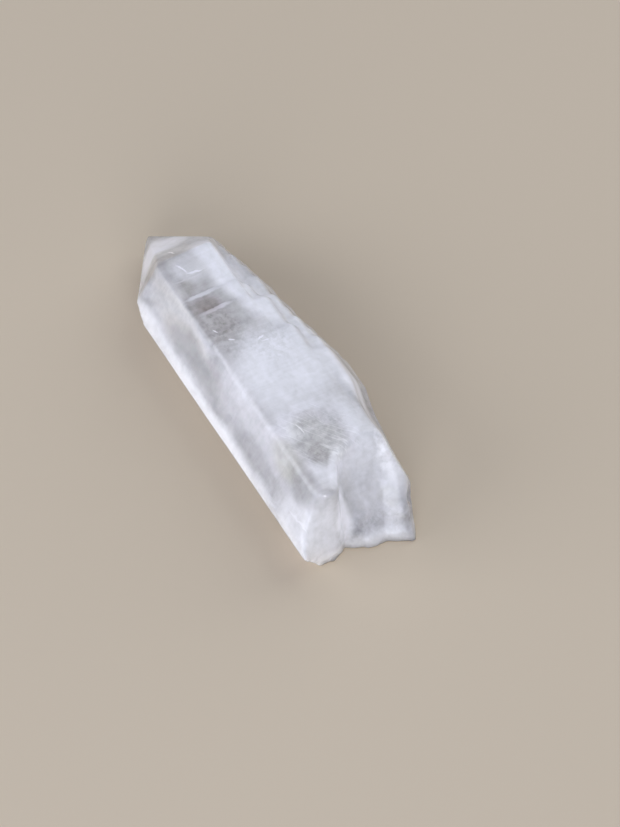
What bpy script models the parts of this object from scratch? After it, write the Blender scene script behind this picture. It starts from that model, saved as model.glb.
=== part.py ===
"""A clear quartz point, lying on one of its six prism faces.

One natural crystal: a six-sided prism with a six-faced tip at +X, stepped growth ledges down
its right side (-Y), and a broken base with shell-shaped scars at -X. Metres, +Z up. The origin
is under the middle of the crystal, on the surface that it rests on.
"""
import math

import bmesh
import bpy
from mathutils import Matrix, Vector, noise

MM = 0.001

# The prism, in millimetres and degrees
PRISM_WIDTH = 13.9
APOTHEM = PRISM_WIDTH / 2
AXIS_Y = 2.6
BLANK_FRONT = 60.0
BLANK_BACK = 34.0
BLANK_WIDTH = 42.0
TIP_SLOPE = 38.2
PLANE_TOLERANCE = 1e-8

# The six prism faces, by the direction that each one faces, in degrees from +Y towards +Z
LEFT_UP, TOP, RIGHT_UP, RIGHT_LOW, BOTTOM, LEFT_LOW = 30, 90, 150, 210, 270, 330
FACES = (LEFT_UP, TOP, RIGHT_UP, RIGHT_LOW, BOTTOM, LEFT_LOW)

# Where each tip face starts on its prism face, and its slope to the long axis
CORE_TIP = {
    LEFT_UP: (19.3, 35.5),
    TOP: (19.6, TIP_SLOPE),
    RIGHT_UP: (22.0, TIP_SLOPE),
    RIGHT_LOW: (26.4, TIP_SLOPE),
    BOTTOM: (27.8, TIP_SLOPE),
    LEFT_LOW: (16.1, 20.0),
}
CORE_DROP = 0.5
LEFT_LOW_EXTRA = 0.78

# Growth layers, each (start of its tip faces, drop of its top below the highest prism face,
# how far it stands out on the right, and on the left); a ledge stays inside the core on the left
INSIDE = -6.0
GROWTH_LAYERS = (
    (22.6, 3.4, 0.12, INSIDE),
    (20.0, 2.9, 0.6, INSIDE),
    (17.6, 2.5, 1.35, INSIDE),
    (15.2, 2.9, 1.8, INSIDE),
    (12.6, 2.6, 2.4, INSIDE),
    (11.6, 0.3, 0.1, 0.02),
    (10.9, 0.9, 0.85, INSIDE),
    (8.4, 0.16, 0.2, 0.04),
    (8.0, 2.0, 3.1, INSIDE),
    (7.2, 0.4, 2.25, INSIDE),
    (5.4, 2.4, 3.35, INSIDE),
    (4.4, 0.08, 0.3, 0.06),
    (2.9, 1.6, 3.95, INSIDE),
    (0.9, 0.04, 3.1, 0.08),
    (0.4, 2.2, 4.4, INSIDE),
    (-1.9, 1.2, 4.9, INSIDE),
    (-4.4, 0.6, 5.2, 0.1),
)
UNDERSIDE = 0.1
LAYER_STEP = 0.013

# The broken end from its right side to its left, each (y, x of its foot, how far its top leans
# back from its foot, height of the upright foot)
END_BREAK = (
    (-9.0, -30.4, 8.6, 1.8),
    (-6.8, -31.0, 9.8, 2.3),
    (-5.6, -30.8, 10.2, 2.1),
    (-4.2, -30.3, 10.0, 1.8),
    (-2.7, -29.6, 9.3, 1.6),
    (-0.2, -29.5, 8.7, 1.6),
    (1.5, -28.7, 6.2, 1.6),
    (3.1, -27.65, 1.9, 1.6),
    (3.8, -28.4, 1.1, 2.6),
    (5.4, -28.8, 1.9, 3.6),
    (7.6, -28.8, 2.5, 4.0),
    (9.2, -29.4, 2.8, 4.6),
    (11.0, -30.8, 2.6, 6.5),
)
END_MIDDLE = 0.3
END_HALF_WIDTH = 11.9
END_TOP = 15.0
END_FOOT = -1.0
END_COLUMNS = 68
END_ROWS = 46
END_DEPTH = 14.0
END_HOLLOW = 0.09

# Unevenness of the break, each (height, spacing, seed)
WAVES = (0.5, 4.5, 4.7)
GRAIN = (0.24, 1.1, 1.3)

# Ripples in the break, in rings around the point that was struck
STRIKE = (-20.5, -1.0, 13.9)
RIPPLE_HEIGHT = 0.07
RIPPLE_LENGTH = 1.9
RIPPLE_FADE = 4.0
RIPPLE_DRIFT = (1.0, 3.3, 9.1)

# Long shallow flakes off the right side, each (point, facing, radius)
FLAKES = (
    ((-15.0, -8.7, 7.2), (-0.15, -0.85, 0.5), 22.0),
    ((-21.0, -8.15, 7.0), (-0.1, -0.9, 0.35), 40.0),
    ((-28.2, -6.35, 5.0), (-0.55, -0.78, 0.25), 60.0),
)
FLAKE_SEGMENTS = 120

# Small chips, each (place, radius)
CHIPS = (
    ((-26.9, -7.9, 4.2), 1.1),
    ((-11.5, -11.6, 8.2), 1.4),
    ((2.6, -10.9, 9.5), 1.0),
)
CHIP_ROUGHNESS = 0.3
CHIP_LUMPS = 1.7

# A slab wider than the crystal, to trim its underside
SLAB_LENGTH = 200.0
SLAB_WIDTH = 100.0
SLAB_DEPTH = 14.0

# Clear, slightly milky quartz
QUARTZ_COLOR = (0.80, 0.80, 0.84, 1.0)
QUARTZ_ROUGHNESS = 0.12
QUARTZ_IOR = 1.544
QUARTZ_TRANSMISSION = 0.6
WELD_DISTANCE = 0.00001


def direction(angle):
    """Unit vector square to the long axis."""
    return Vector((0.0, math.cos(math.radians(angle)), math.sin(math.radians(angle))))


def cut_flat(bm, point, normal):
    """Cut a convex mesh with a plane, drop the side that the normal points to, and close it."""
    whole = bm.verts[:] + bm.edges[:] + bm.faces[:]
    cut = bmesh.ops.bisect_plane(
        bm, geom=whole, dist=PLANE_TOLERANCE, plane_co=point, plane_no=normal, clear_outer=True)
    rim = [item for item in cut["geom_cut"] if isinstance(item, bmesh.types.BMEdge)]
    if rim:
        bmesh.ops.contextual_create(bm, geom=rim)


def add_object(name, bm, collection, parent):
    """Turn a bmesh into an object in a collection, under a parent."""
    bmesh.ops.recalc_face_normals(bm, faces=bm.faces)
    if bm.calc_volume(signed=True) < 0:
        bmesh.ops.reverse_faces(bm, faces=bm.faces)
    mesh = bpy.data.meshes.new(name)
    bm.to_mesh(mesh)
    bm.free()
    obj = bpy.data.objects.new(name, mesh)
    collection.objects.link(obj)
    obj.parent = parent
    return obj


def hexagonal_crystal(growth, tips, back):
    """A convex crystal: six prism faces standing out by their growth, each with its tip face."""
    bm = bmesh.new()
    length = BLANK_FRONT + back
    size = Matrix.Diagonal((length, BLANK_WIDTH, BLANK_WIDTH, 1.0))
    middle = Matrix.Translation(((BLANK_FRONT - back) / 2, AXIS_Y, APOTHEM))
    bmesh.ops.create_cube(bm, size=1.0, matrix=Matrix.Scale(MM, 4) @ middle @ size)
    for angle in FACES:
        out = direction(angle)
        on_face = Vector((0.0, AXIS_Y, APOTHEM)) + out * (APOTHEM + growth[angle])
        cut_flat(bm, on_face * MM, out)
        start, slope = tips[angle]
        tilt = math.radians(slope)
        tip_facing = Vector((math.sin(tilt), 0.0, 0.0)) + out * math.cos(tilt)
        cut_flat(bm, (on_face + Vector((start, 0.0, 0.0))) * MM, tip_facing)
    return bm


def side_growth(drop, right, left, underside):
    """How far each prism face stands out past the core, from a layer's corner positions."""
    square = math.cos(math.radians(30))
    return {
        TOP: -drop,
        BOTTOM: underside,
        RIGHT_UP: right * square,
        RIGHT_LOW: right * square,
        LEFT_UP: left * square,
        LEFT_LOW: left * square + LEFT_LOW_EXTRA,
    }


def growth_layer(number):
    """One layer of parallel growth, a crystal of its own around the same axis."""
    start, drop, right, left = GROWTH_LAYERS[number]
    further = LAYER_STEP * (number + 1)
    tips = {angle: (start, TIP_SLOPE) for angle in FACES}
    growth = side_growth(drop, right, left - further, UNDERSIDE + further)
    return hexagonal_crystal(growth, tips, BLANK_BACK + further)


def end_profile(y):
    """The foot of the broken end, the lean of its top, and the height of its upright foot."""
    if y <= END_BREAK[0][0]:
        return END_BREAK[0][1:]
    for low, high in zip(END_BREAK, END_BREAK[1:]):
        if y <= high[0]:
            part = (y - low[0]) / (high[0] - low[0])
            return tuple(a + (b - a) * part for a, b in zip(low[1:], high[1:]))
    return END_BREAK[-1][1:]


def uneven(y, z, height, spacing, seed):
    """Smooth random unevenness at one place across the break."""
    return noise.noise(Vector((y / spacing, z / spacing, seed))) * height


def end_surface(y, z):
    """How far along the crystal the break lies, at one place across it and one height."""
    foot, lean, upright = end_profile(y)
    part = max(0.0, z - upright) / (PRISM_WIDTH - upright)
    x = foot + lean * part * (1.0 + 4.0 * END_HOLLOW * (1.0 - part))
    reach = (Vector((x, y, z)) - Vector(STRIKE)).length
    turns = reach / RIPPLE_LENGTH + uneven(y, z, *RIPPLE_DRIFT)
    ripple = math.sin(2 * math.pi * turns) * RIPPLE_HEIGHT * min(1.0, reach / RIPPLE_FADE)
    return x + uneven(y, z, *WAVES) + uneven(y, z, *GRAIN) + ripple


def broken_end():
    """Everything behind the rough break across the base."""
    bm = bmesh.new()
    flat = bmesh.ops.create_grid(bm, x_segments=END_COLUMNS, y_segments=END_ROWS, size=1.0)
    for vert in flat["verts"]:
        y = vert.co.x * END_HALF_WIDTH + END_MIDDLE
        z = END_FOOT + (END_TOP - END_FOOT) * (vert.co.y + 1.0) / 2
        vert.co = Vector((end_surface(y, z), y, z)) * MM
    back = bmesh.ops.extrude_face_region(bm, geom=bm.faces[:])
    for item in back["geom"]:
        if isinstance(item, bmesh.types.BMVert):
            item.co.x = (END_BREAK[0][1] - END_DEPTH) * MM
    return bm


def flake(point, facing, radius):
    """A ball that shaves a long shallow flake off the side."""
    bm = bmesh.new()
    out = Vector(facing).normalized()
    middle = Matrix.Translation((Vector(point) + out * radius) * MM)
    bmesh.ops.create_uvsphere(
        bm, u_segments=FLAKE_SEGMENTS, v_segments=FLAKE_SEGMENTS, radius=radius * MM, matrix=middle)
    return bm


def chip(place, radius):
    """A small rough ball that takes a chip out of an edge."""
    bm = bmesh.new()
    bmesh.ops.create_icosphere(bm, subdivisions=3, radius=1.0)
    for vert in bm.verts:
        bump = 1.0 + CHIP_ROUGHNESS * noise.noise(vert.co * CHIP_LUMPS + Vector(place))
        vert.co = (Vector(place) + vert.co * radius * bump) * MM
    return bm


def table():
    """A slab that trims the underside flat, where the crystal rests."""
    bm = bmesh.new()
    size = Matrix.Diagonal((SLAB_LENGTH, SLAB_WIDTH, SLAB_DEPTH, 1.0))
    place = Matrix.Translation((0.0, 0.0, -SLAB_DEPTH / 2))
    bmesh.ops.create_cube(bm, size=1.0, matrix=Matrix.Scale(MM, 4) @ place @ size)
    return bm


def quartz_material():
    """Clear, slightly milky, colourless quartz."""
    material = bpy.data.materials.new("quartz")
    material.use_nodes = True
    shader = material.node_tree.nodes["Principled BSDF"]
    shader.inputs["Base Color"].default_value = QUARTZ_COLOR
    shader.inputs["Roughness"].default_value = QUARTZ_ROUGHNESS
    shader.inputs["IOR"].default_value = QUARTZ_IOR
    shader.inputs["Transmission Weight"].default_value = QUARTZ_TRANSMISSION
    return material


def combine(target, tools, operation):
    """Join the target with every object of a collection, or cut it with them, in one step."""
    for tool in tools.objects:
        tool.hide_render = True
        tool.display_type = "WIRE"
    step = target.modifiers.new(tools.name, "BOOLEAN")
    step.operation = operation
    step.solver = "EXACT"
    step.operand_type = "COLLECTION"
    step.collection = tools


def centre_on_origin(obj, parent):
    """Move the parent so that the object's box stands centred on the origin."""
    graph = bpy.context.evaluated_depsgraph_get()
    shape = obj.evaluated_get(graph)
    corners = [shape.matrix_world @ vert.co for vert in shape.data.vertices]
    middle_x = (min(c.x for c in corners) + max(c.x for c in corners)) / 2
    middle_y = (min(c.y for c in corners) + max(c.y for c in corners)) / 2
    parent.location = (-middle_x, -middle_y, 0.0)


def new_collection(name, parent):
    """A collection inside another."""
    collection = bpy.data.collections.new(name)
    parent.children.link(collection)
    return collection


def build():
    """Build the crystal."""
    for obj in list(bpy.data.objects):
        bpy.data.objects.remove(obj)
    part = new_collection("quartz_point", bpy.context.scene.collection)
    cutters = new_collection("cutters", bpy.context.scene.collection)
    layers = new_collection("growth_layers", cutters)
    breaks = new_collection("breaks", cutters)
    anchor = bpy.data.objects.new("quartz_point_anchor", None)
    part.objects.link(anchor)

    core = hexagonal_crystal(side_growth(CORE_DROP, 0.0, 0.0, UNDERSIDE), CORE_TIP, BLANK_BACK)
    crystal = add_object("crystal", core, part, anchor)
    crystal.data.materials.append(quartz_material())
    for number in range(len(GROWTH_LAYERS)):
        add_object(f"growth_layer_{number + 1}", growth_layer(number), layers, anchor)
    add_object("table", table(), breaks, anchor)
    add_object("broken_end", broken_end(), breaks, anchor)
    for number, (point, facing, radius) in enumerate(FLAKES):
        add_object(f"flake_{number + 1}", flake(point, facing, radius), breaks, anchor)
    for number, (place, radius) in enumerate(CHIPS):
        add_object(f"chip_{number + 1}", chip(place, radius), breaks, anchor)
    combine(crystal, layers, "UNION")
    combine(crystal, breaks, "DIFFERENCE")
    weld = crystal.modifiers.new("weld", "WELD")
    weld.merge_threshold = WELD_DISTANCE
    centre_on_origin(crystal, anchor)


build()
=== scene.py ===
"""Looks of the quartz point: its worn surface, its milky and clear quartz, and a plain studio.

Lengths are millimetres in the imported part's own frame: +X to the tip, +Y to the left of it, +Z up,
with the origin on the table under the middle of the crystal. Angles are degrees.
"""
import math

import bmesh
import bpy
import numpy as np
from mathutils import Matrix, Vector, noise


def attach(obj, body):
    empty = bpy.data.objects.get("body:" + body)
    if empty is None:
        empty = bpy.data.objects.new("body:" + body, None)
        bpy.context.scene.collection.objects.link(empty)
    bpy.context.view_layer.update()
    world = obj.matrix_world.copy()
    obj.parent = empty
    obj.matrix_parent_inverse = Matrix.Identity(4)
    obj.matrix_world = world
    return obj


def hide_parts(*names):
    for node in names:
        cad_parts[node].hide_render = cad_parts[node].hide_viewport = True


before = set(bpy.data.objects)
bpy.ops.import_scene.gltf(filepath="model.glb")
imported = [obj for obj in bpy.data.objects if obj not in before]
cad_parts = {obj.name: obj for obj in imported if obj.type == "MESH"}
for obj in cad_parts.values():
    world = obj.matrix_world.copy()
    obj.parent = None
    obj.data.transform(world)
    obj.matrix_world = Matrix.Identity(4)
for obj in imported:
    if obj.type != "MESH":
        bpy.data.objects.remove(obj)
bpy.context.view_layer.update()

MM = 0.001

# The photograph's view: the point on the table that it aims at, where it stands as seen from there,
# and how narrow it is. A turn is measured from +X towards +Y.
PHOTO_HEIGHT = 827
AIM = (-5.55, -4.33, 0.0)
VIEW_TURN = 150.8
VIEW_ELEVATION = 53.0
VIEW_DISTANCE = 525.1
FOCAL_PIXELS = 3730.0
SENSOR = 36.0
CLIP_START = 10.0

# The visual crystal's mesh: the size of its quads, and how near two corners of the solid merge
VOXEL = 0.215
MERGE = 0.0001

# Rounds of smoothing that wear every edge, and the further rounds that soften some of them
WEAR_ROUNDS = 3
SOFT_ROUNDS = 34
# Where the softening starts and where it is full: along X for the broken end, along X and Z for
# the top ridges, and along Y for the growth ledges, which get only a share of it. The foot stays
# as it is, so all of it sets in above the table.
SOFT_END = (0.0, -18.0)
SOFT_RIDGES = (5.0, -7.0)
SOFT_RIDGES_ABOVE = (9.5, 12.0)
SOFT_LEDGES = (-1.0, -3.5)
LEDGE_SHARE = 0.6
SOFT_ABOVE = (0.3, 2.5)

# Relief of the surface, each (height, spacing, seed of its noise). Swells are everywhere and
# striations on the prism faces. Crinkles and crumble are on the break, and nicks on worn edges.
SWELL = (0.035, 5.0, 7.0)
STRIATION = (0.009, (0.8, 7.0, 7.0), 11.0)
CRINKLE = (0.04, 1.3, 1.0)
CRUMBLE = (0.014, 0.5, 9.0)
NICK = (0.06, 1.6, 3.1)
# Finer striations, with a share of the height of the others, and the patches that hold them all
FINE_SHARE = 0.6
FINE_SPACING = (0.4, 4.0, 4.0)
FINE_SEED = 5.0
PATCH_SPACING = 6.0
PATCH_SEED = 2.0
PATCH_EDGE = (-0.3, 0.4)
# Crinkles are noise folded at zero, less about its mean
FOLDED_MEAN = 0.3
# Where something starts and where it is full: nicks, by how far an edge has worn back, and relief,
# by its height above the table. The slopes are of a face's direction along X: as it grows, a face
# stops being one of the prism's, and as it grows backwards, the face is one of the break's.
NICK_LOSS = (0.02, 0.07)
RELIEF_ABOVE = (0.05, 0.6)
PRISM_SLOPE = (0.1, 0.3)
BROKEN_SLOPE = (0.25, 0.5)

# Quartz: its color where clear and where milky, and how deep light spreads in the milky kind
QUARTZ_IOR = 1.544
CLEAR_COLOR = (0.985, 0.968, 0.950, 1.0)
MILK_COLOR = (0.93, 0.905, 0.985, 1.0)
MILK_DEPTH = 10.0
# As the milk rises from the one to the other of its pair, so does the roughness of the surface
ROUGHNESS = (0.03, 0.22)
ROUGHNESS_MILK = (0.1, 0.9)

# How milky the quartz is, from 0, clear, to 1, white. Each zone is an egg: (name, how milky, its
# middle, its radii, its turn about the vertical), and a later zone covers an earlier one. Left and
# right are as seen in the photo, so the left is +Y. The strip is the clear band on the flat top.
# The zones along the left rim and the foot are painted glow, and the crest a painted reflection, all
# made as white milk
MILK_ELSEWHERE = 0.4
MILK_AND_PAINTED_LIGHT_ZONES = (
    ("underside", 0.1, (0.0, 0.0, 0.0), (60.0, 16.0, 0.4), 0.0),
    ("ledges", 0.62, (5.0, -8.5, 7.0), (22.0, 3.5, 6.0), 14.0),
    ("under_ledges", 0.85, (5.0, -8.0, 3.0), (24.0, 4.0, 3.5), 14.0),
    ("tip", 0.55, (20.0, 3.5, 9.0), (9.0, 8.0, 9.0), 0.0),
    ("apex", 1.0, (25.5, 4.0, 8.0), (5.0, 5.0, 3.0), 0.0),
    ("tip_band", 0.35, (19.6, 6.2, 11.0), (1.8, 4.5, 4.0), 0.0),
    ("left_face", 0.3, (5.0, 8.8, 9.0), (16.0, 2.0, 3.2), 0.0),
    ("left_face_by_tip", 0.56, (11.5, 8.4, 10.6), (5.5, 1.8, 3.0), 0.0),
    ("left_ridge", 0.66, (7.8, 6.6, 13.0), (6.2, 1.5, 2.1), 0.0),
    ("strip", 0.3, (10.0, 4.8, 13.9), (12.0, 3.6, 1.0), 2.0),
    ("tip_window", 0.62, (16.5, 3.2, 13.6), (2.6, 2.6, 1.1), 0.0),
    # Painted reflection: the crest is made white milk for light that the growth steps reflect
    ("painted_reflection_crest", 0.9, (12.5, -1.4, 13.2), (10.5, 2.4, 2.0), 7.0),
    ("right_slope", 0.84, (2.0, -5.0, 12.5), (14.0, 2.5, 3.0), 14.0),
    ("middle", 0.8, (-5.8, 0.0, 12.0), (8.6, 8.0, 5.0), -15.0),
    ("milky_ledge", 0.92, (-12.0, -7.6, 11.5), (7.0, 1.6, 4.0), 10.0),
    ("lower_top", 0.75, (-19.0, 1.0, 13.0), (9.0, 8.0, 5.0), 0.0),
    ("window", 0.52, (-17.4, 0.6, 13.9), (3.8, 3.2, 3.0), 20.0),
    ("window_low", 0.38, (-20.6, 3.2, 13.9), (3.4, 2.2, 3.0), 35.0),
    ("beside_window", 0.5, (-19.6, 6.9, 12.0), (3.6, 2.2, 5.0), 0.0),
    ("left_end", 0.75, (-27.0, 7.5, 5.0), (6.0, 5.0, 8.0), 0.0),
    ("grey_left", 0.45, (-24.0, 7.0, 12.4), (3.0, 1.8, 4.0), 0.0),
    ("scar", 0.64, (-25.5, -3.5, 7.0), (4.0, 4.0, 7.0), 0.0),
    ("right_end", 0.88, (-22.0, -7.6, 10.0), (7.0, 2.0, 6.0), 0.0),
    ("streak_top", 0.84, (-24.0, 2.2, 13.9), (3.6, 1.0, 3.0), -35.0),
    ("streak_end", 0.95, (-27.0, 2.7, 6.0), (2.5, 1.6, 7.5), 0.0),
    # Painted glow: the left rim and the left side by the tip are made white milk where light comes
    # through the crystal
    ("painted_glow_rim", 1.0, (0.0, 11.4, 6.0), (32.0, 2.2, 2.6), 0.0),
    ("painted_glow_left_side", 0.9, (14.0, 10.8, 7.0), (8.0, 2.0, 2.2), 0.0),
    # Painted glow: the foot's rim is made white milk where light leaves the crystal at the table
    ("foot", 1.0, (-30.0, 2.0, 0.5), (3.0, 12.0, 2.4), 0.0),
)

# Tints of painted light and shade on the quartz's color, told like the zones above
PAINTED_LIGHT_AND_SHADE_TINTS = (
    # Painted reflection of the warm floor on the left face by the ridge
    ("painted_floor_reflection_by_ridge", (1.0, 0.95, 0.89, 1.0), (10.0, 7.9, 11.2), (10.0, 2.3, 3.2), 0.0),
    # Painted shade on the left face
    ("grey_on_left_face", (0.57, 0.56, 0.545, 1.0), (3.2, 8.8, 9.7), (8.5, 1.8, 2.6), 0.0),
    # Painted reflection of the warm floor on the band by the tip
    ("painted_floor_reflection_tip_band", (1.0, 0.97, 0.91, 1.0), (20.5, 5.0, 11.6), (3.0, 4.5, 3.0), 0.0),
    # Painted shade seen through the clear strip
    ("painted_shade_in_strip", (0.66, 0.62, 0.60, 1.0), (8.9, 4.2, 13.9), (2.0, 2.2, 1.0), 0.0),
    # Painted shade seen through the clear quartz by the tip
    ("painted_shade_by_tip", (0.80, 0.79, 0.76, 1.0), (13.3, 5.0, 13.6), (1.6, 1.6, 1.0), 0.0),
    # Painted shade seen through the clear window
    ("grey_window", (0.86, 0.855, 0.83, 1.0), (-18.8, 1.8, 13.9), (5.5, 3.8, 3.0), 30.0),
    # Painted shade, warm like the floor, beside the window
    ("warm_beside_window", (0.81, 0.80, 0.74, 1.0), (-19.6, 6.9, 12.4), (4.4, 2.0, 3.0), 0.0),
    # Painted shade on the grey patch at the left end
    ("grey_left", (0.80, 0.795, 0.775, 1.0), (-24.4, 7.0, 12.6), (2.6, 1.6, 3.0), 0.0),
    # Painted highlight on the scar, warm
    ("painted_highlight_on_scar", (1.0, 0.98, 0.92, 1.0), (-26.9, -5.1, 5.8), (1.5, 1.5, 1.5), 0.0),
    # Painted glow along the left rim, as pure white
    ("painted_glow_rim_white", (1.0, 1.0, 1.0, 1.0), (0.0, 11.4, 6.5), (32.0, 2.6, 3.2), 0.0),
    # Painted glow along the foot, as pure white
    ("painted_glow_foot", (1.0, 1.0, 1.0, 1.0), (-30.0, 2.0, 0.5), (3.0, 12.0, 2.4), 0.0),
)

# Thin growth bands whose white is partly painted reflection off their steps, a painted glint, cracks
# and flakes, told like the zones of milk, with narrow eggs
FINE_BANDS = (
    # Growth bands, made white partly as painted reflection of light off the growth steps
    ("band_at_11", 0.68, (11.1, 3.3, 13.6), (0.45, 3.1, 1.0), 0.0),
    ("band_at_8", 0.68, (7.8, 3.1, 13.7), (0.4, 2.6, 1.0), 3.0),
    ("band_at_15", 0.55, (14.8, 3.4, 13.4), (0.16, 2.6, 1.0), 4.0),
    ("arc_rear", 0.9, (16.6, 3.9, 13.4), (1.1, 0.16, 1.0), 20.0),
    ("arc_front", 0.9, (15.3, 2.6, 13.4), (0.18, 1.2, 1.0), -8.0),
    # Painted highlight: a glint in the tip, as a white line
    ("painted_glint_in_tip", 0.95, (21.0, 3.3, 11.9), (1.0, 0.16, 1.0), 10.0),
    ("flake_at_4", 0.8, (4.2, 5.2, 13.7), (0.45, 0.14, 1.0), 30.0),
    ("flake_at_2", 0.85, (1.9, 4.0, 13.8), (0.45, 0.16, 1.0), 60.0),
    ("flake_at_0", 0.97, (0.2, 0.3, 13.9), (0.6, 0.16, 1.0), 110.0),
    ("flake_before_0", 0.95, (-0.6, -0.1, 13.9), (0.5, 0.14, 1.0), 80.0),
    ("crack_by_window", 0.85, (-16.2, 3.2, 13.9), (1.1, 0.12, 1.0), 6.0),
    ("crack_at_end", 0.84, (-26.5, 9.2, 8.8), (2.2, 0.11, 1.2), 5.0),
)

# An egg is full up to the first of these shares of its radii, and gone at the second
EGG_EDGE = (0.55, 1.3)
# Noise pushes the zones and the fine bands out of shape, by up to half of the first number either
# way, and the second number is its waves per millimetre
ZONE_WANDER, ZONE_WANDER_SCALE = 1.8, 0.17
BAND_WANDER, BAND_WANDER_SCALE = 0.6, 0.9
WANDER_DETAIL = 2.0

# Cloudy wisps, fine lines across the crystal, and mottles, each (strength, grains per millimetre by
# axis). The span is the part of the noise's range that they use.
WISPS = (0.08, (0.22, 0.5, 0.4))
GROWTH_LINES = (0.03, (2.2, 0.12, 0.2))
MOTTLE = (0.06, (1.1, 1.1, 1.1))
GRAIN_DETAIL = 4.0
GRAIN_SPAN = (0.2, 0.8)

# Fan of fine threads under the window: its strength, the egg that holds it, threads per millimetre
# by axis, and how far from its middle value the noise still makes a thread. The threads are turned
# as much as the egg.
THREADS = 0.17
THREAD_MIDDLE = (-18.3, 1.2, 13.5)
THREAD_RADII = (5.6, 5.0, 3.0)
THREAD_TURN = 34.0
THREAD_SCALE = (0.08, 1.0, 0.2)
THREAD_DETAIL = 2.0
THREAD_WIDTH = 0.03

# Fine light and dark flecks: their strength, flecks per millimetre by axis, the span of noise that
# they use, and the eggs that hold them, each (middle, radii, turn)
FLECKS = 0.06
FLECK_SCALE = (1.7, 1.7, 1.7)
FLECK_DETAIL = 2.0
FLECK_SPAN = (0.35, 0.65)
FLECK_EGGS = (
    ((3.5, 3.8, 13.7), (5.5, 3.2, 2.0), 0.0),
    ((-1.5, -0.5, 13.9), (3.5, 3.0, 2.0), 0.0),
    ((-18.5, 1.5, 13.9), (5.5, 4.5, 2.0), 0.0),
    ((-29.0, -2.0, 2.5), (3.0, 7.0, 3.5), 0.0),
    ((-23.0, -6.5, 12.0), (4.0, 2.0, 4.0), 0.0),
)

# The floor lies a hair under the crystal, so that their surfaces don't coincide
FLOOR_HALF = 620.0
AIR_GAP = 0.05
FLOOR_COLOR = (0.61, 0.515, 0.38, 1.0)
FLOOR_ROUGHNESS = 0.8

# Sky light from all round, and square soft lights, each (name, turn, elevation, side, watts, color).
# The window is beyond the crystal on its right, and the room is on the camera's side.
SKY_COLOR = (0.75, 0.80, 1.0, 1.0)
SKY_STRENGTH = 0.40
LIGHT_DISTANCE = 700.0
LIGHTS = (
    ("window", -75.0, 42.0, 850.0, 2.5, (0.93, 0.96, 1.0)),
    ("room", 150.0, 20.0, 500.0, 3.3, (0.86, 0.89, 1.0)),
    ("left", 75.0, 20.0, 500.0, 2.5, (0.86, 0.89, 1.0)),
)

# A Mix node's sockets, by what it mixes: the first input, the second input and the output
MIX_SOCKETS = {"FLOAT": (2, 3, 0), "RGBA": (6, 7, 2)}
# Noise from the Noise Texture node lies about this value
NOISE_MIDDLE = 0.5


def smooth_step(value, start, full):
    """0 up to start, 1 from full on, and smooth between them; full may be the lower one."""
    part = np.clip((value - start) / (full - start), 0.0, 1.0)
    return part * part * (3.0 - 2.0 * part)


def wavy(points, spacing, seed):
    """Smooth noise from -1 to 1 at each point; spacing may differ by axis."""
    scaled = points / np.asarray(spacing) + seed
    return np.array([noise.noise(Vector(p)) for p in scaled])


def new_object(name, data):
    """Add a mesh, light or camera to the scene as an object."""
    obj = bpy.data.objects.new(name, data)
    bpy.context.scene.collection.objects.link(obj)
    return obj


def fine_copy(node, name):
    """A copy of a node's mesh as small even quads."""
    bm = bmesh.new()
    bm.from_mesh(node.data)
    bmesh.ops.remove_doubles(bm, verts=bm.verts, dist=MERGE * MM)
    coarse = bpy.data.meshes.new(name + "_coarse")
    bm.to_mesh(coarse)
    bm.free()
    obj = new_object(name, coarse)
    remesh = obj.modifiers.new("even_quads", "REMESH")
    remesh.mode = "VOXEL"
    remesh.voxel_size = VOXEL * MM
    graph = bpy.context.evaluated_depsgraph_get()
    obj.data = bpy.data.meshes.new_from_object(obj.evaluated_get(graph))
    obj.modifiers.clear()
    return obj


def read_points(mesh):
    """The mesh's points, in millimetres."""
    flat = np.empty(len(mesh.vertices) * 3)
    mesh.vertices.foreach_get("co", flat)
    return flat.reshape(-1, 3) / MM


def write_points(mesh, points):
    """Put points in millimetres back into the mesh."""
    mesh.vertices.foreach_set("co", (points * MM).astype(np.float32).ravel())
    mesh.update()


def read_normals(mesh):
    """The direction that the surface faces at each point."""
    flat = np.empty(len(mesh.vertices) * 3)
    mesh.vertex_normals.foreach_get("vector", flat)
    return flat.reshape(-1, 3)


def average_neighbours(mesh, points, rounds):
    """Move each point halfway to the mean of its neighbours, this many times."""
    ends = np.empty(len(mesh.edges) * 2, dtype=np.int64)
    mesh.edges.foreach_get("vertices", ends)
    first, second = ends[0::2], ends[1::2]
    count = np.zeros(len(points))
    np.add.at(count, first, 1)
    np.add.at(count, second, 1)
    for _ in range(rounds):
        total = np.zeros_like(points)
        np.add.at(total, first, points[second])
        np.add.at(total, second, points[first])
        points = (points + total / count[:, None]) / 2
    return points


def softness(points):
    """How much of the softening each point gets, from 0 to 1."""
    along, across, height = points[:, :1], points[:, 1:2], points[:, 2:]
    end = smooth_step(along, *SOFT_END)
    ridges = smooth_step(along, *SOFT_RIDGES) * smooth_step(height, *SOFT_RIDGES_ABOVE)
    ledges = LEDGE_SHARE * smooth_step(across, *SOFT_LEDGES)
    return np.maximum(np.maximum(end, ledges), ridges) * smooth_step(height, *SOFT_ABOVE)


def wear_edges(mesh):
    """Round the edges, soften some of them further, and nick them here and there."""
    sharp = read_points(mesh)
    worn = average_neighbours(mesh, sharp, WEAR_ROUNDS)
    soft = average_neighbours(mesh, worn, SOFT_ROUNDS)
    worn = worn + (soft - worn) * softness(sharp)
    lost = np.linalg.norm(worn - sharp, axis=1)
    depth, spacing, seed = NICK
    nick = np.maximum(0.0, wavy(worn, spacing, seed)) * smooth_step(lost, *NICK_LOSS) * depth
    write_points(mesh, worn - read_normals(mesh) * nick[:, None])


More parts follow.
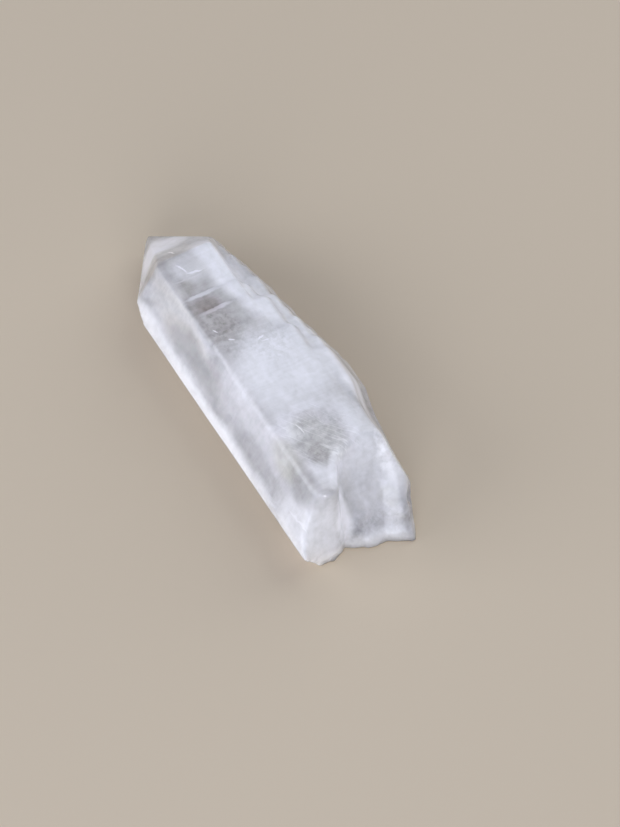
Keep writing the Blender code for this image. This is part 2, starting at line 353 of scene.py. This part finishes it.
def striations(points, slope):
    """Height of the growth lines that run across the prism's faces, in patches."""
    height, spacing, seed = STRIATION
    lines = wavy(points, spacing, seed) + FINE_SHARE * wavy(points, FINE_SPACING, FINE_SEED)
    prism = 1.0 - smooth_step(np.abs(slope), *PRISM_SLOPE)
    patches = smooth_step(wavy(points, PATCH_SPACING, PATCH_SEED), *PATCH_EDGE)
    return lines * height * prism * patches


def broken_relief(points, slope):
    """Height of the creases and the crumble where the crystal is broken."""
    broken = smooth_step(-slope, *BROKEN_SLOPE)
    height, spacing, seed = CRINKLE
    relief = (np.abs(wavy(points, spacing, seed)) - FOLDED_MEAN) * height * broken
    height, spacing, seed = CRUMBLE
    return relief + wavy(points, spacing, seed) * height * broken


def add_relief(mesh):
    """Swells, growth lines and the roughness of the break, all above the table."""
    points = read_points(mesh)
    facing = read_normals(mesh)
    slope = facing[:, 0]
    height, spacing, seed = SWELL
    relief = wavy(points, spacing, seed) * height
    relief += striations(points, slope) + broken_relief(points, slope)
    above = smooth_step(points[:, 2], *RELIEF_ABOVE)
    write_points(mesh, points + facing * (relief * above)[:, None])


def add_node(tree, kind, **settings):
    """A shader node with some of its settings made."""
    made = tree.nodes.new("ShaderNode" + kind)
    for name, value in settings.items():
        setattr(made, name, value)
    return made


def feed(tree, socket, value):
    """Link another node's output to a socket, or give the socket a plain value."""
    if isinstance(value, bpy.types.NodeSocket):
        tree.links.new(value, socket)
    else:
        socket.default_value = value


def calculate(tree, kind, operation, *values):
    """The result of a Math or VectorMath node."""
    made = add_node(tree, kind, operation=operation)
    for socket, value in zip(made.inputs, values):
        feed(tree, socket, value)
    return made.outputs[0]


def blend(tree, kind, first, second, share):
    """The mix of two numbers ("FLOAT") or colors ("RGBA"); share is how much of the second."""
    made = add_node(tree, "Mix", data_type=kind)
    first_socket, second_socket, result = MIX_SOCKETS[kind]
    feed(tree, made.inputs[0], share)
    feed(tree, made.inputs[first_socket], first)
    feed(tree, made.inputs[second_socket], second)
    return made.outputs[result]


def map_range(tree, value, span, target):
    """A value taken smoothly from one (low, high) range to another."""
    made = add_node(tree, "MapRange", interpolation_type="SMOOTHSTEP")
    made.inputs["From Min"].default_value, made.inputs["From Max"].default_value = span
    made.inputs["To Min"].default_value, made.inputs["To Max"].default_value = target
    feed(tree, made.inputs["Value"], value)
    return made.outputs["Result"]


def noise_at(tree, place, scale, detail):
    """A node of three-dimensional noise; scale may differ by axis."""
    made = add_node(tree, "TexNoise")
    made.inputs["Scale"].default_value = 1.0
    made.inputs["Detail"].default_value = detail
    feed(tree, made.inputs["Vector"], calculate(tree, "VectorMath", "MULTIPLY", place, scale))
    return made


def part_millimetres(tree):
    """The point in the part's own millimetres."""
    place = add_node(tree, "TexCoord").outputs["Object"]
    millimetres = add_node(tree, "VectorMath", operation="SCALE")
    millimetres.inputs["Scale"].default_value = 1 / MM
    feed(tree, millimetres.inputs[0], place)
    return millimetres.outputs[0]


def wander(tree, place, reach, scale):
    """The place pushed about by noise, so that zones get uneven edges."""
    push = noise_at(tree, place, (scale,) * 3, WANDER_DETAIL).outputs["Color"]
    push = calculate(tree, "VectorMath", "SUBTRACT", push, (NOISE_MIDDLE,) * 3)
    return calculate(tree, "VectorMath", "MULTIPLY_ADD", push, (reach,) * 3, place)


def egg_inside(tree, place, middle, radii, turn):
    """1 well inside a turned egg, 0 outside it, and smooth between them."""
    mapping = add_node(tree, "Mapping", vector_type="TEXTURE")
    mapping.inputs["Location"].default_value = middle
    mapping.inputs["Rotation"].default_value = (0.0, 0.0, math.radians(turn))
    mapping.inputs["Scale"].default_value = radii
    feed(tree, mapping.inputs["Vector"], place)
    reach = add_node(tree, "VectorMath", operation="LENGTH")
    feed(tree, reach.inputs[0], mapping.outputs[0])
    return map_range(tree, reach.outputs["Value"], EGG_EDGE, (1.0, 0.0))


def add_zones(tree, kind, value, place, zones):
    """Blend zones one by one into a running number or color."""
    for _, target, middle, radii, turn in zones:
        share = egg_inside(tree, place, middle, radii, turn)
        value = blend(tree, kind, value, target, share)
    return value


def add_grain(tree, milk, place):
    """Wisps, growth lines and mottles, lighter and darker than the milk around them."""
    for strength, scale in (WISPS, GROWTH_LINES, MOTTLE):
        grain = noise_at(tree, place, scale, GRAIN_DETAIL).outputs["Fac"]
        grain = map_range(tree, grain, GRAIN_SPAN, (-1.0, 1.0))
        milk = calculate(tree, "Math", "MULTIPLY_ADD", grain, strength, milk)
    return milk


def add_threads(tree, milk, place):
    """Fine white threads that fan out under the window."""
    turned = add_node(tree, "Mapping", vector_type="TEXTURE")
    turned.inputs["Rotation"].default_value = (0.0, 0.0, math.radians(THREAD_TURN))
    feed(tree, turned.inputs["Vector"], place)
    sheet = noise_at(tree, turned.outputs[0], THREAD_SCALE, THREAD_DETAIL).outputs["Fac"]
    off = calculate(tree, "Math", "SUBTRACT", sheet, NOISE_MIDDLE)
    distance = calculate(tree, "Math", "ABSOLUTE", off)
    thread = map_range(tree, distance, (0.0, THREAD_WIDTH), (1.0, 0.0))
    inside = egg_inside(tree, place, THREAD_MIDDLE, THREAD_RADII, THREAD_TURN)
    seen = calculate(tree, "Math", "MULTIPLY", thread, inside)
    return calculate(tree, "Math", "MULTIPLY_ADD", seen, THREADS, milk)


def add_flecks(tree, milk, place):
    """Fine light and dark flecks inside a few eggs."""
    grain = noise_at(tree, place, FLECK_SCALE, FLECK_DETAIL).outputs["Fac"]
    fleck = map_range(tree, grain, FLECK_SPAN, (-1.0, 1.0))
    for middle, radii, turn in FLECK_EGGS:
        inside = egg_inside(tree, place, middle, radii, turn)
        seen = calculate(tree, "Math", "MULTIPLY", fleck, inside)
        milk = calculate(tree, "Math", "MULTIPLY_ADD", seen, FLECKS, milk)
    return milk


def milkiness(tree, exact, pushed):
    """How milky the quartz is, painted glow and reflections included; exact and pushed are the point
    before and after it wanders.
    """
    milk = add_zones(tree, "FLOAT", MILK_ELSEWHERE, pushed, MILK_AND_PAINTED_LIGHT_ZONES)
    milk = add_grain(tree, milk, pushed)
    milk = add_threads(tree, milk, pushed)
    milk = add_flecks(tree, milk, exact)
    near = wander(tree, exact, BAND_WANDER, BAND_WANDER_SCALE)
    return add_zones(tree, "FLOAT", milk, near, FINE_BANDS)


def clearness(tree, milk):
    """1 where the quartz has no milk, 0 where it is white."""
    clear = add_node(tree, "MapRange")
    clear.inputs["To Min"].default_value = 1.0
    clear.inputs["To Max"].default_value = 0.0
    feed(tree, clear.inputs["Value"], milk)
    return clear.outputs["Result"]


def quartz_surface():
    """Quartz that lets light through where clear, and scatters it under the surface where milky,
    with painted light and shade in its tints.
    """
    material = bpy.data.materials.new("quartz_clear_and_milky")
    material.use_nodes = True
    tree = material.node_tree
    exact = part_millimetres(tree)
    pushed = wander(tree, exact, ZONE_WANDER, ZONE_WANDER_SCALE)
    milk = milkiness(tree, exact, pushed)
    color = blend(tree, "RGBA", CLEAR_COLOR, MILK_COLOR, milk)
    # The tints paint glow, highlights, reflections and shade into the color
    color = add_zones(tree, "RGBA", color, pushed, PAINTED_LIGHT_AND_SHADE_TINTS)
    inputs = tree.nodes["Principled BSDF"].inputs
    feed(tree, inputs["Base Color"], color)
    feed(tree, inputs["Transmission Weight"], clearness(tree, milk))
    feed(tree, inputs["Roughness"], map_range(tree, milk, ROUGHNESS_MILK, ROUGHNESS))
    inputs["IOR"].default_value = QUARTZ_IOR
    inputs["Subsurface Weight"].default_value = 1.0
    inputs["Subsurface Radius"].default_value = (1.0, 1.0, 1.0)
    inputs["Subsurface Scale"].default_value = MILK_DEPTH * MM
    return material


def floor_material():
    """Pale warm floor."""
    material = bpy.data.materials.new("pale_floor")
    material.use_nodes = True
    inputs = material.node_tree.nodes["Principled BSDF"].inputs
    inputs["Base Color"].default_value = FLOOR_COLOR
    inputs["Roughness"].default_value = FLOOR_ROUGHNESS
    return material


def build_crystal():
    """The worn visual crystal, in place of the plain solid."""
    crystal = fine_copy(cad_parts["crystal"], "crystal_body")
    wear_edges(crystal.data)
    add_relief(crystal.data)
    crystal.data.materials.clear()
    crystal.data.materials.append(quartz_surface())
    crystal.data.shade_smooth()
    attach(crystal, "root")
    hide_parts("crystal")


def build_floor():
    """A plain pale floor."""
    bm = bmesh.new()
    bmesh.ops.create_grid(bm, x_segments=1, y_segments=1, size=FLOOR_HALF * MM)
    mesh = bpy.data.meshes.new("floor")
    bm.to_mesh(mesh)
    bm.free()
    floor = new_object("floor", mesh)
    floor.location.z = -AIR_GAP * MM
    floor.data.materials.append(floor_material())


def place_facing(obj, target, turn, elevation, distance):
    """Put a light or camera out from a target, and turn it to face the target."""
    turn, elevation = math.radians(turn), math.radians(elevation)
    flat = math.cos(elevation)
    out = Vector((flat * math.cos(turn), flat * math.sin(turn), math.sin(elevation)))
    obj.location = (Vector(target) + out * distance) * MM
    obj.rotation_euler = (-out).to_track_quat("-Z", "Y").to_euler()


def build_light():
    """Sky light from all round, and the square soft lights."""
    world = bpy.data.worlds.new("studio")
    bpy.context.scene.world = world
    world.use_nodes = True
    background = world.node_tree.nodes["Background"]
    background.inputs["Color"].default_value = SKY_COLOR
    background.inputs["Strength"].default_value = SKY_STRENGTH
    for name, turn, elevation, side, watts, color in LIGHTS:
        light = bpy.data.lights.new(name, "AREA")
        light.shape = "SQUARE"
        light.size = side * MM
        light.energy = watts
        light.color = color
        place_facing(new_object(name, light), (0.0, 0.0, 0.0), turn, elevation, LIGHT_DISTANCE)


def build_camera():
    """A camera at the photograph's viewing angle."""
    data = bpy.data.cameras.new("camera")
    data.sensor_width = SENSOR
    data.lens = SENSOR * FOCAL_PIXELS / PHOTO_HEIGHT
    data.clip_start = CLIP_START * MM
    camera = new_object("camera", data)
    place_facing(camera, AIM, VIEW_TURN, VIEW_ELEVATION, VIEW_DISTANCE)
    bpy.context.scene.camera = camera


build_crystal()
build_floor()
build_light()
build_camera()
bpy.context.scene.view_settings.view_transform = "Standard"
